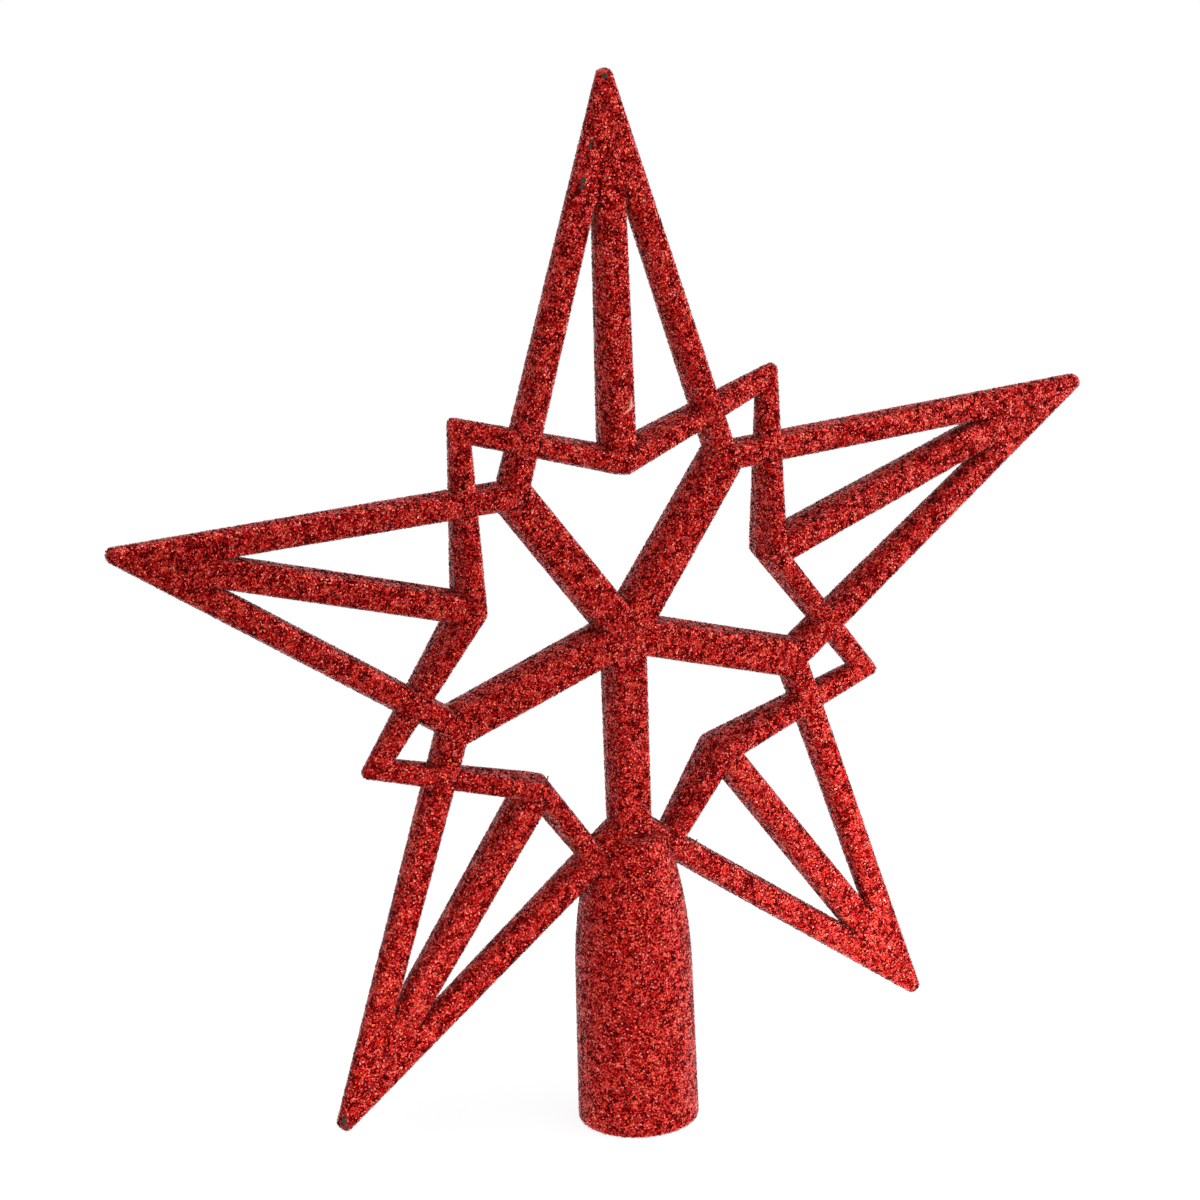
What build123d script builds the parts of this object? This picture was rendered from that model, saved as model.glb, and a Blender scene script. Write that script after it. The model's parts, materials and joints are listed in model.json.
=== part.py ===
"""Openwork tree topper star: two interlaced star outlines of moulded bars on a socket.

The origin is the middle of the socket's mouth, +Z is up and the star faces -Y.
Every bar is widest on the star's own plane and drafts in towards its front and back faces.
"""
import math
import os

from build123d import *

# Big star, measured from its centre along the centre lines of its rails
POINT_RADIUS = 98.6
NOTCH_RADIUS = 36.6
OUTER_RAIL_WIDTH = 5.1
POINT_DEPTH = 3.2
NOTCH_DEPTH = 6.6
POINT_ROUND = 1.5

# Small star, turned by half a step, measured the same way
SPIKE_RADIUS = 53.2
CORNER_RADIUS = 32.4
SPIKE_WIDTH = 4.0
CORNER_WIDTH = 4.9
SPIKE_DEPTH = 3.0
CORNER_DEPTH = 9.9
SPIKE_ROUND = 1.18

# Ribs, from the small star's corners into the big star's points
RIB_WIDTH = 5.85
RIB_CORNER_DEPTH = 8.3
RIB_POINT_DEPTH = 3.7
# How far a rib's blank runs on from the crotch of its point to the corner of the centre lines
RIB_SEAT_SHARE = 0.5

# Spokes, from the hub to the big star's notches
SPOKE_WIDTH = 7.5
HUB_DEPTH = 7.5
# How far a spoke's blank runs on from the notch to the outer crotch of its two rails
SPOKE_SEAT_SHARE = 0.45

# All bars
DRAFT_ANGLE = 12.0
EDGE_ROUND = 1.1
# Radius of a tip's rounding against one that would be tangent to its two sides
TIP_ROUND_SHARE = 1.02
# Depth of a bar's blank against the deepest bar
BLANK_DEPTH_SHARE = 1.2

# Socket: a blind bore for the tree's top shoot below a slotted dome
BORE_RADIUS = 9.25
BORE_DEPTH = 36.0
BORE_FLOOR = 4.0
MOUTH_WALL = 1.9
SHOULDER_WALL = 1.5
RIM_ROUND = 0.9
DOME_HEIGHT = 26.5
DOME_TOP_RADIUS = 6.7
DOME_TOP_ROUND = 2.2
# How far the bottom notch of the big star sinks into the top of the dome
DOME_SEAT = 0.6

# The star's directions, anticlockwise from the top: each point is followed by its notch
POINTS = ("top", "left", "lower_left", "lower_right", "right")
NOTCHES = ("upper_left", "mid_left", "bottom", "mid_right", "upper_right")
TOP_ANGLE = 90
STEP_ANGLE = 36

DEPTH_AXIS = Vector(0, 1, 0)
DRAFT_SLOPE = math.tan(math.radians(DRAFT_ANGLE))
BLANK_DEPTH = BLANK_DEPTH_SHARE * max(NOTCH_DEPTH, CORNER_DEPTH, RIB_CORNER_DEPTH, HUB_DEPTH)


def tip_half_angle(tip_radius, dip_radius):
    """Angle, in radians, between a star's point and the centre lines of its two rails."""
    step = math.radians(STEP_ANGLE)
    return math.atan2(dip_radius * math.sin(step), tip_radius - dip_radius * math.cos(step))


POINT_HALF_ANGLE = tip_half_angle(POINT_RADIUS, NOTCH_RADIUS)
SPIKE_HALF_ANGLE = tip_half_angle(SPIKE_RADIUS, CORNER_RADIUS)
NOTCH_HALF_ANGLE = POINT_HALF_ANGLE + math.radians(STEP_ANGLE)
NOTCH_CROTCH = NOTCH_RADIUS + OUTER_RAIL_WIDTH / 2 / math.sin(NOTCH_HALF_ANGLE)
POINT_CROTCH = POINT_RADIUS - OUTER_RAIL_WIDTH / 2 / math.sin(POINT_HALF_ANGLE)
# Beyond this radius a point's rails and rib have closed up into a solid tip
SOLID_TIP_RADIUS = POINT_CROTCH - RIB_WIDTH / 2 / math.tan(POINT_HALF_ANGLE)


def radial(angle, radius):
    """Point of the star's plane at an angle and a distance from the star's centre."""
    turn = math.radians(angle)
    return Vector(radius * math.cos(turn), 0, radius * math.sin(turn))


def outward_plane(origin, tangent, other_tangent, outward):
    """Plane through a point and two directions, with its normal on the outward side."""
    normal = tangent.cross(other_tangent).normalized()
    if normal.dot(outward) < 0:
        normal = -normal
    return Plane(origin=origin, x_dir=tangent, z_dir=normal)


def bar_blank(start, end, start_width, end_width, run_on):
    """Full-depth blank of a bar, running on a way past both ends of its centre line.

    It is a plain block whose four side faces are cut back to the draft.
    """
    along = (end - start).normalized()
    side = DEPTH_AXIS.cross(along)
    end_plane = Plane(origin=start - along * run_on, x_dir=side, z_dir=along)
    block_section = end_plane * Rectangle(2 * max(start_width, end_width), BLANK_DEPTH)
    blank = extrude(block_section, amount=(end - start).length + 2 * run_on)
    for outward in (side, -side):
        edge_start = start + outward * (start_width / 2)
        edge_end = end + outward * (end_width / 2)
        for depth_way in (DEPTH_AXIS, -DEPTH_AXIS):
            drafted = depth_way - outward * DRAFT_SLOPE
            face = outward_plane(edge_start, edge_end - edge_start, drafted, outward)
            blank = split(blank, bisect_by=face, keep=Keep.BOTTOM)
    return blank


def slope_faces(blank, start, end, start_depth, end_depth):
    """Cut a blank's front and back down to planes that follow its depth from end to end."""
    side = DEPTH_AXIS.cross(end - start)
    for outward in (DEPTH_AXIS, -DEPTH_AXIS):
        face_start = start + outward * (start_depth / 2)
        face_end = end + outward * (end_depth / 2)
        face = outward_plane(face_start, face_end - face_start, side, outward)
        blank = split(blank, bisect_by=face, keep=Keep.BOTTOM)
    return blank


def face_edges(bar, length):
    """The four long edges of a bar's front and back faces, without those on its widest plane."""
    return [edge for edge in bar.edges() if edge.length > length and abs(edge.center().Y) > EDGE_ROUND]


def change_at_tip(bar, tip_bar):
    """One state of a top point's bar, changing to another state in the point's solid tip."""
    seam = Plane(origin=radial(TOP_ANGLE, SOLID_TIP_RADIUS), z_dir=radial(TOP_ANGLE, 1))
    return split(bar, bisect_by=seam, keep=Keep.BOTTOM) + split(tip_bar, bisect_by=seam, keep=Keep.TOP)


def within(shape, first_angle, last_angle):
    """Keep the part of a shape between two mitre planes that meet on the hub's axis."""
    for angle, keep in ((first_angle, Keep.TOP), (last_angle, Keep.BOTTOM)):
        mitre = Plane(origin=(0, 0, 0), x_dir=radial(angle, 1), z_dir=radial(angle + 90, 1))
        shape = split(shape, bisect_by=mitre, keep=keep)
    return shape


def cut_short(shape, angle, radius, keep):
    """Cut a bar that runs along a radius square at a distance from the star's centre."""
    return split(shape, bisect_by=Plane(origin=radial(angle, radius), z_dir=radial(angle, 1)), keep=keep)


class TipRound:
    """Rounding of a star's sharp tip, a little flatter than one tangent to the rails' outer sides."""

    def __init__(self, rounding, tip_radius, dip_radius, widths, depths):
        tip_width, dip_width = widths
        half_angle = tip_half_angle(tip_radius, dip_radius)
        length = (radial(0, tip_radius) - radial(STEP_ANGLE, dip_radius)).length
        side_angle = half_angle - math.atan2((tip_width - dip_width) / 2, length)
        side_radius = tip_radius + tip_width / 2 * math.sin(half_angle)
        side_offset = tip_width / 2 * math.cos(half_angle)
        apex_radius = side_radius + side_offset / math.tan(side_angle)
        tangent_rounding = rounding / TIP_ROUND_SHARE
        self.rounding = rounding
        self.reach = apex_radius - tangent_rounding * (1 / math.sin(side_angle) - 1)
        self.centre_radius = self.reach - rounding
        self.start_radius = self.centre_radius + rounding * math.sin(side_angle)
        self.run_on = self.reach - tip_radius + rounding
        self.width = tip_width
        overhang = (self.start_radius - tip_radius) * math.cos(half_angle)
        self.depth = depths[0] + (depths[0] - depths[1]) * overhang / length

    def waste(self, angle):
        """What the sharp tip in one direction loses to its rounding."""
        outward = radial(angle, 1)
        block_plane = Plane(origin=outward * self.start_radius, x_dir=DEPTH_AXIS, z_dir=outward)
        block = extrude(block_plane * Rectangle(BLANK_DEPTH, 2 * self.width), amount=2 * self.width)
        round_plane = Plane(origin=outward * self.centre_radius, x_dir=outward, z_dir=DEPTH_AXIS)
        tip_end = Cylinder(self.rounding, self.depth)
        tip_end = fillet(tip_end.edges().filter_by(GeomType.CIRCLE), radius=EDGE_ROUND)
        return block - round_plane * tip_end


OUTER_WIDTHS = (OUTER_RAIL_WIDTH, OUTER_RAIL_WIDTH)
OUTER_DEPTHS = (POINT_DEPTH, NOTCH_DEPTH)
INNER_WIDTHS = (SPIKE_WIDTH, CORNER_WIDTH)
INNER_DEPTHS = (SPIKE_DEPTH, CORNER_DEPTH)
POINT_TIP = TipRound(POINT_ROUND, POINT_RADIUS, NOTCH_RADIUS, OUTER_WIDTHS, OUTER_DEPTHS)
SPIKE_TIP = TipRound(SPIKE_ROUND, SPIKE_RADIUS, CORNER_RADIUS, INNER_WIDTHS, INNER_DEPTHS)
STAR_CENTRE_HEIGHT = BORE_DEPTH + BORE_FLOOR + SPIKE_TIP.reach


class Rail:
    """One rail of a star outline, between a sharp tip and the dip beside it.

    blank is the full-depth bar, and finished is cut to its depth with its long edges
    rounded. Both end in the mitres of the tip and the dip. In a solid tip the edges on the
    inside of the outline stay sharp, so that the rails and the rib close up there.
    """

    def __init__(self, tip, dip, widths, depths, tip_round, solid_tip):
        start = radial(*tip)
        end = radial(*dip)
        sector = sorted((tip[0], dip[0]))
        long_blank = bar_blank(start, end, *widths, tip_round.run_on)
        long_bar = slope_faces(long_blank, start, end, *depths)
        edges = face_edges(long_bar, (end - start).length)
        rounded_bar = fillet(edges, radius=EDGE_ROUND)
        if solid_tip:
            outside_edges = [edge for edge in edges if abs(edge.center().X) > abs((start + end).X) / 2]
            rounded_bar = change_at_tip(rounded_bar, fillet(outside_edges, radius=EDGE_ROUND))
        self.blank = within(long_blank, *sector)
        self.finished = within(rounded_bar, *sector) - tip_round.waste(tip[0])

    def half_blank(self, keep):
        """The half of the blank behind the star's plane, the top one, or in front of it."""
        return split(self.blank, bisect_by=Plane(origin=(0, 0, 0), z_dir=DEPTH_AXIS), keep=keep)

    def lapped(self, other, other_half):
        """The finished rail with the cross lap that lets half of another rail pass through it."""
        return self.finished - other.half_blank(other_half)


def outer_rail(side_angle):
    """Rail of the big star on one side of its top point."""
    return Rail(
        (TOP_ANGLE, POINT_RADIUS),
        (side_angle, NOTCH_RADIUS),
        OUTER_WIDTHS,
        OUTER_DEPTHS,
        POINT_TIP,
        solid_tip=True,
    )


def inner_rail(side_angle):
    """Rail of the small star on one side of its top corner."""
    return Rail(
        (side_angle, SPIKE_RADIUS),
        (TOP_ANGLE, CORNER_RADIUS),
        INNER_WIDTHS,
        INNER_DEPTHS,
        SPIKE_TIP,
        solid_tip=False,
    )


def make_rib(rails):
    """Rib of the top point: blunt V against the small star, wedge between the big star's rails."""
    rib_end = POINT_CROTCH + RIB_SEAT_SHARE * (POINT_RADIUS - POINT_CROTCH)
    start = radial(TOP_ANGLE, CORNER_RADIUS)
    end = radial(TOP_ANGLE, rib_end)
    bar = bar_blank(start, end, RIB_WIDTH, RIB_WIDTH, RIB_WIDTH)
    bar = slope_faces(bar, start, end, RIB_CORNER_DEPTH, RIB_POINT_DEPTH)
    rounded_bar = fillet(face_edges(bar, (end - start).length), radius=EDGE_ROUND)
    bar = change_at_tip(rounded_bar, bar)
    bar = cut_short(bar, TOP_ANGLE, CORNER_RADIUS, Keep.TOP)
    bar = cut_short(bar, TOP_ANGLE, rib_end, Keep.BOTTOM)
    for rail in rails:
        bar -= rail.blank
    return bar


def make_spoke(rail_blanks):
    """Spoke to the upper left notch: mitred at the hub, with a bird's mouth over the notch's rails."""
    angle = TOP_ANGLE + STEP_ANGLE
    spoke_end = NOTCH_RADIUS + SPOKE_SEAT_SHARE * (NOTCH_CROTCH - NOTCH_RADIUS)
    start = radial(angle, 0)
    end = radial(angle, spoke_end)
    bar = bar_blank(start, end, SPOKE_WIDTH, SPOKE_WIDTH, SPOKE_WIDTH)
    bar = slope_faces(bar, start, end, HUB_DEPTH, NOTCH_DEPTH)
    bar = fillet(face_edges(bar, (end - start).length), radius=EDGE_ROUND)
    bar = within(bar, angle - STEP_ANGLE, angle + STEP_ANGLE)
    bar = cut_short(bar, angle, spoke_end, Keep.BOTTOM)
    for rail_blank in rail_blanks:
        bar -= rail_blank
    return bar


def socket_body():
    """Turned outside of the socket and its blind bore, standing on the mouth."""
    dome_top = STAR_CENTRE_HEIGHT - NOTCH_CROTCH + DOME_SEAT
    shoulder_height = dome_top - DOME_HEIGHT
    mouth_radius = BORE_RADIUS + MOUTH_WALL
    shoulder_radius = BORE_RADIUS + SHOULDER_WALL
    mouth = Line((BORE_RADIUS, 0), (mouth_radius, 0))
    wall = Line(mouth @ 1, (shoulder_radius, shoulder_height))
    dome = TangentArc(wall @ 1, (DOME_TOP_RADIUS, dome_top), tangent=wall % 1)
    crown = Line(dome @ 1, (0, dome_top))
    axis_line = Line(crown @ 1, (0, BORE_DEPTH))
    bore_end = Line(axis_line @ 1, (BORE_RADIUS, BORE_DEPTH))
    bore_wall = Line(bore_end @ 1, mouth @ 0)
    outline = make_face([mouth, wall, dome, crown, axis_line, bore_end, bore_wall])
    rim_corner = outline.vertices().sort_by_distance((mouth_radius, 0))[0]
    outline = fillet(rim_corner, radius=RIM_ROUND)
    crown_corner = outline.vertices().sort_by_distance((DOME_TOP_RADIUS, dome_top))[0]
    outline = fillet(crown_corner, radius=DOME_TOP_ROUND)
    return revolve(Plane.XZ * outline, axis=Axis.Z)


def slot_window():
    """The small window between the bottom notch and its spike, which the dome leaves open."""
    spread = 1 / math.tan(NOTCH_HALF_ANGLE) + 1 / math.tan(SPIKE_HALF_ANGLE)
    lap_offset = (SPIKE_RADIUS - NOTCH_RADIUS) / spread
    lap_drop = NOTCH_RADIUS + lap_offset / math.tan(NOTCH_HALF_ANGLE)
    corners = [
        (0, -SPIKE_RADIUS),
        (lap_offset, -lap_drop),
        (0, -NOTCH_RADIUS),
        (-lap_offset, -lap_drop),
    ]
    return extrude(Plane.XZ * make_face(Polyline(*corners, close=True)), amount=NOTCH_DEPTH / 2, both=True)


def make_socket(members):
    """Socket with the slot in its dome that the small star's bottom spike plugs into."""
    socket = socket_body()
    for member in [slot_window()] + members:
        socket -= at_height(member)
    return socket


def at_height(shape):
    """A piece of the star, lifted from the star's centre to its place above the socket."""
    return Pos(0, 0, STAR_CENTRE_HEIGHT) * shape


def turned(shape, index):
    """A piece made for the top of the star, turned anticlockwise to one of its five places."""
    return Rot(0, -2 * STEP_ANGLE * index, 0) * shape


def write(shape, node):
    """Write one piece as its own file."""
    export_step(shape, f"parts/{node}.step")


def main():
    """Build the pieces of the top point, repeat them around the star and add the socket."""
    os.makedirs("parts", exist_ok=True)
    sides = (TOP_ANGLE + STEP_ANGLE, TOP_ANGLE - STEP_ANGLE)
    outer_rails = [outer_rail(side_angle) for side_angle in sides]
    inner_rails = [inner_rail(side_angle) for side_angle in sides]
    pairs = list(zip(outer_rails, inner_rails))
    lapped_outers = [outer.lapped(inner, Keep.TOP) for outer, inner in pairs]
    lapped_inners = [inner.lapped(outer, Keep.BOTTOM) for outer, inner in pairs]
    rib = make_rib(outer_rails + inner_rails)
    spoke = make_spoke([outer_rails[0].blank, turned(outer_rails[1].blank, 1)])
    for index, point in enumerate(POINTS):
        notches = (NOTCHES[index], NOTCHES[index - 1])
        for notch, lapped_outer, lapped_inner in zip(notches, lapped_outers, lapped_inners):
            write(at_height(turned(lapped_outer, index)), f"outer_rail_{point}_{notch}")
            write(at_height(turned(lapped_inner, index)), f"inner_rail_{point}_{notch}")
        write(at_height(turned(rib, index)), f"rib_{point}")
        write(at_height(turned(spoke, index)), f"spoke_{NOTCHES[index]}")
    bottom = NOTCHES.index("bottom")
    members = [turned(rails[0].finished, bottom) for rails in (outer_rails, inner_rails)]
    members += [turned(rails[1].finished, bottom + 1) for rails in (outer_rails, inner_rails)]
    write(make_socket(members), "socket")


main()
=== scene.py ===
"""Looks of the openwork tree topper star: glitter coat, bare plastic, floor, light and camera.

The star's bars and socket come from the frame and keep their shapes. Each one gets a ground of
tinted glue and glitter dust, kept dark as painted shade between the flakes, and a coat of hexagonal
film flakes scattered over its showing faces. The flakes' shades are painted light and shade.
Sizes are written in millimetres and turned to metres where they reach Blender. The axes are the
frame's own: +Z up through the socket, and the star faces -Y.
"""
import json
import logging
import math
import random
from dataclasses import dataclass, field
from enum import Enum

import bmesh
import bpy
from mathutils import Matrix, Vector

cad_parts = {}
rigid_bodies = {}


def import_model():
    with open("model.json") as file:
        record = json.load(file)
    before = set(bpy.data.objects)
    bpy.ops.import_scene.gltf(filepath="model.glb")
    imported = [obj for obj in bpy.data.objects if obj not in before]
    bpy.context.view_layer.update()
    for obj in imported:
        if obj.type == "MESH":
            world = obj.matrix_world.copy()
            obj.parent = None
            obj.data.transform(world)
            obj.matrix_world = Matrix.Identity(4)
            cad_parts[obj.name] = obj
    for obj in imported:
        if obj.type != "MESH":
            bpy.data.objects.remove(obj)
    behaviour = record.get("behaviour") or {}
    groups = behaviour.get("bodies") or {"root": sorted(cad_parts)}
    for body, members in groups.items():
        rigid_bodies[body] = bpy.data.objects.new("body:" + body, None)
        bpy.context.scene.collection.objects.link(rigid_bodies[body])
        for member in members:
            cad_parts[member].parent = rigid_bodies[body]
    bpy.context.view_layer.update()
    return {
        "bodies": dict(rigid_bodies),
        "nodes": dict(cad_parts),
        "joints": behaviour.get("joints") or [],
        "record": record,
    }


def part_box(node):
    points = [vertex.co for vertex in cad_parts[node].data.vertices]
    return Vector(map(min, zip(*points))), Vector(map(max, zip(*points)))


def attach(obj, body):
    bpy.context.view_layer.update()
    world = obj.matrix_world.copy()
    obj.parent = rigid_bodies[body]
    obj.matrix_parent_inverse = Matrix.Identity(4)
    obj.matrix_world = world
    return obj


MM = 0.001
BODY = "root"
TOP_RAIL = "outer_rail_top_upper_left"
LOWER_LEFT_RAIL = "outer_rail_lower_left_mid_left"
WHITE = "#ffffff"
FLAKE_SIDES = 6
SEEDS_PER_PIECE = 10
# How far the bore's mask reaches into its walls
BORE_MARGIN = 0.1
# Size of the bays in a rubbed spot's edge, which wanders by half of it to each side
RAGGED_BAY = 0.5
# How far in front of the star's middle plane a rubbed spot is looked for
IN_FRONT = 2.0
LOG = logging.getLogger("topper_star")

Tree = bpy.types.NodeTree
Socket = bpy.types.NodeSocket


class PieceKind(Enum):
    """The kinds of pieces that the star is built from, by the start of their names."""

    OUTER_RAIL = "outer_rail"
    INNER_RAIL = "inner_rail"
    RIB = "rib"
    SPOKE = "spoke"
    SOCKET = "socket"


class Shade(Enum):
    """Painted shades of the flakes, from painted shade where they catch no light to painted glints."""

    GARNET = "garnet"
    MAROON = "maroon"
    CRIMSON = "crimson"
    RED = "red"
    SCARLET = "scarlet"
    EMBER = "ember"
    ROSE = "rose"
    FLASH = "flash"


class PointAngle(Enum):
    """Directions of the points that have rubbed spots, in degrees from +X towards +Z."""

    TOP = 90.0
    LOWER_LEFT = 234.0


def linear(hex_colour: str) -> tuple[float, float, float, float]:
    """Turn an sRGB hex colour into linear RGBA.

    Args:
        hex_colour: Six hex digits after a hash mark.

    Returns:
        The colour as Blender's sockets take it, with full alpha.
    """
    channels = [int(hex_colour[at : at + 2], 16) / 255 for at in (1, 3, 5)]
    bent = [c / 12.92 if c <= 0.04045 else ((c + 0.055) / 1.055) ** 2.4 for c in channels]
    return (*bent, 1.0)


def add_node(
    tree: Tree,
    kind: str,
    settings: dict[str, object] | None = None,
    inputs: dict[str | int, object] | None = None,
) -> bpy.types.Node:
    """Add a node with its settings, its constant inputs and its links.

    Args:
        tree: Node tree that takes the node.
        kind: Blender's name of the node's type.
        settings: Properties of the node itself.
        inputs: Values of its sockets by name or place, or the outputs that feed them.

    Returns:
        The new node.
    """
    node = tree.nodes.new(kind)
    for name, value in (settings or {}).items():
        setattr(node, name, value)
    for key, value in (inputs or {}).items():
        if isinstance(value, Socket):
            tree.links.new(value, node.inputs[key])
        else:
            node.inputs[key].default_value = value
    return node


def join_masks(tree: Tree, masks: list[Socket]) -> Socket:
    """Join masks into one.

    Args:
        tree: Node tree that takes the nodes.
        masks: Outputs that are above 0 on what they mark.

    Returns:
        Output that is above 0 wherever one of them is.
    """
    joined = masks[0]
    for mask in masks[1:]:
        larger = add_node(tree, "ShaderNodeMath", {"operation": "MAXIMUM"}, {0: joined, 1: mask})
        joined = larger.outputs[0]
    return joined


def empty_material(name: str) -> bpy.types.Material:
    """Make a node material without nodes.

    Args:
        name: What the material is.

    Returns:
        The material.
    """
    material = bpy.data.materials.new(name)
    material.use_nodes = True
    material.node_tree.nodes.clear()
    return material


def finished_mesh(name: str, shape: bmesh.types.BMesh) -> bpy.types.Mesh:
    """Keep a finished shape as a mesh and free the shape.

    Args:
        name: Name of the mesh.
        shape: The finished shape.

    Returns:
        The mesh.
    """
    mesh = bpy.data.meshes.new(name)
    shape.to_mesh(mesh)
    shape.free()
    return mesh


def linked_object(name: str, mesh: bpy.types.Mesh) -> bpy.types.Object:
    """Link a mesh into the scene as an object at the origin.

    Args:
        name: Name of the object.
        mesh: Its mesh.

    Returns:
        The object.
    """
    made = bpy.data.objects.new(name, mesh)
    bpy.context.scene.collection.objects.link(made)
    return made


@dataclass(frozen=True)
class RubbedSpot:
    """A spot near a point's tip where the coat has rubbed off down to the bare plastic.

    Attributes:
        node: CAD node that it lies on.
        point: Point of the star that it is measured from.
        along: Distance from the tip towards the star's centre.
        across: Distance from the point's middle line, anticlockwise.
        radius: Radius of the spot.
    """

    node: str
    point: PointAngle
    along: float
    across: float
    radius: float


RUBBED_SPOTS = (
    RubbedSpot(TOP_RAIL, PointAngle.TOP, 1.0, 0.75, 0.5),
    RubbedSpot(TOP_RAIL, PointAngle.TOP, 12.0, 4.0, 0.38),
    RubbedSpot(TOP_RAIL, PointAngle.TOP, 12.9, 4.2, 0.45),
    RubbedSpot(TOP_RAIL, PointAngle.TOP, 18.8, 5.85, 0.55),
    RubbedSpot(TOP_RAIL, PointAngle.TOP, 19.9, 6.05, 0.48),
    RubbedSpot(LOWER_LEFT_RAIL, PointAngle.LOWER_LEFT, 1.1, -2.3, 0.65),
    RubbedSpot(LOWER_LEFT_RAIL, PointAngle.LOWER_LEFT, 2.2, -2.3, 0.35),
    RubbedSpot(LOWER_LEFT_RAIL, PointAngle.LOWER_LEFT, 0.45, -0.5, 0.42),
)


@dataclass(frozen=True)
class StarFrame:
    """The star as the frame gives it, with the sizes that its looks follow, in metres.

    Attributes:
        nodes: CAD nodes by name.
        bore_radius: Radius of the socket's bore.
        bore_depth: Depth of the bore.
        centre_height: Height of the star's centre, where the spokes meet.
        reach: Distance from there to the tip of a point.
    """

    nodes: dict[str, bpy.types.Object]
    bore_radius: float
    bore_depth: float
    centre_height: float
    reach: float

    @classmethod
    def read(cls, frame: dict[str, object]) -> "StarFrame":
        """Take the sizes from the loaded frame.


        Returns:
            The star's nodes and sizes.
        """
        bore = next(mount for mount in frame["record"]["mounts"] if mount["kind"] == "bore")
        centre_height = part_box("spoke_bottom")[1][2]
        tip_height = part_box("outer_rail_top_upper_left")[1][2]
        return cls(
            frame["nodes"],
            bore["dims"]["r_mm"] * MM,
            bore["dims"]["length_mm"] * MM,
            centre_height,
            tip_height - centre_height,
        )

    def spot_middle(self, spot: RubbedSpot) -> Vector:
        """Find the middle of a rubbed spot on the front of its point.

        Args:
            spot: The spot.

        Returns:
            Place on the node's surface, in metres.
        """
        turn = math.radians(spot.point.value)
        outward = Vector((math.cos(turn), 0, math.sin(turn)))
        sideways = Vector((-math.sin(turn), 0, math.cos(turn)))
        place = outward * (self.reach - spot.along * MM) + sideways * spot.across * MM
        in_front = place + Vector((0, -IN_FRONT * MM, self.centre_height))
        return self.nodes[spot.node].closest_point_on_mesh(in_front)[1]

    def bore_mask(self, tree: Tree, place: Socket) -> Socket:
        """Find what lies inside the bore.

        Args:
            tree: Shader or geometry node tree.
            place: Position in the frame.

        Returns:
            Output that is 1 in the bore and 0 outside it.
        """
        flat = add_node(tree, "ShaderNodeVectorMath", {"operation": "MULTIPLY"}, {0: place, 1: (1, 1, 0)})
        radius = add_node(tree, "ShaderNodeVectorMath", {"operation": "LENGTH"}, {0: flat.outputs[0]})
        within = add_node(
            tree,
            "ShaderNodeMath",
            {"operation": "LESS_THAN"},
            {0: radius.outputs["Value"], 1: self.bore_radius + BORE_MARGIN * MM},
        )
        height = add_node(tree, "ShaderNodeSeparateXYZ", inputs={0: place})
        below = add_node(
            tree,
            "ShaderNodeMath",
            {"operation": "LESS_THAN"},
            {0: height.outputs["Z"], 1: self.bore_depth + BORE_MARGIN * MM},
        )
        both = add_node(
            tree,
            "ShaderNodeMath",
            {"operation": "MULTIPLY"},
            {0: within.outputs[0], 1: below.outputs[0]},
        )
        return both.outputs[0]

    def rubbed_mask(self, tree: Tree, place: Socket) -> Socket:
        """Find the rubbed spots, whose edges are ragged.

        Args:
            tree: Shader or geometry node tree.
            place: Position in the frame.

        Returns:
            Output that is 1 on a spot and 0 elsewhere.
        """
        # One wave of the noise is as long as one bay of a spot's edge
        bays = add_node(
            tree,
            "ShaderNodeTexNoise",
            inputs={"Vector": place, "Scale": 1 / (RAGGED_BAY * MM), "Detail": 1.0},
        )
        wander = add_node(
            tree,
            "ShaderNodeMath",
            {"operation": "MULTIPLY_ADD"},
            {0: bays.outputs[0], 1: RAGGED_BAY * MM, 2: -RAGGED_BAY / 2 * MM},
        )
        rubbed = []
        for spot in RUBBED_SPOTS:
            middle = self.spot_middle(spot)
            gap = add_node(tree, "ShaderNodeVectorMath", {"operation": "DISTANCE"}, {0: place, 1: middle})
            edge = add_node(
                tree,
                "ShaderNodeMath",
                {"operation": "ADD"},
                {0: gap.outputs["Value"], 1: wander.outputs[0]},
            )
            near = add_node(
                tree,
                "ShaderNodeMath",
                {"operation": "LESS_THAN"},
                {0: edge.outputs[0], 1: spot.radius * MM},
            )
            rubbed.append(near.outputs[0])
        return join_masks(tree, rubbed)


@dataclass(frozen=True)
class StrayTuft:
    """A few flakes that stand up from the coat, stuck to one another in a drop of glue.

    Attributes:
        node: CAD node that they stand on.
        beside: Point straight above their foot.
        count: Number of flakes.
        reach: How far they stand up.
    """

    node: str
    beside: tuple[float, float, float]
    count: int
    reach: float


STRAY_TUFTS = (
    StrayTuft("inner_rail_lower_left_mid_left", (-17.5, -2.6, 72.2), 10, 1.0),
    StrayTuft("outer_rail_lower_right_bottom", (13.9, -1.1, 53.0), 8, 0.75),
)


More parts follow.
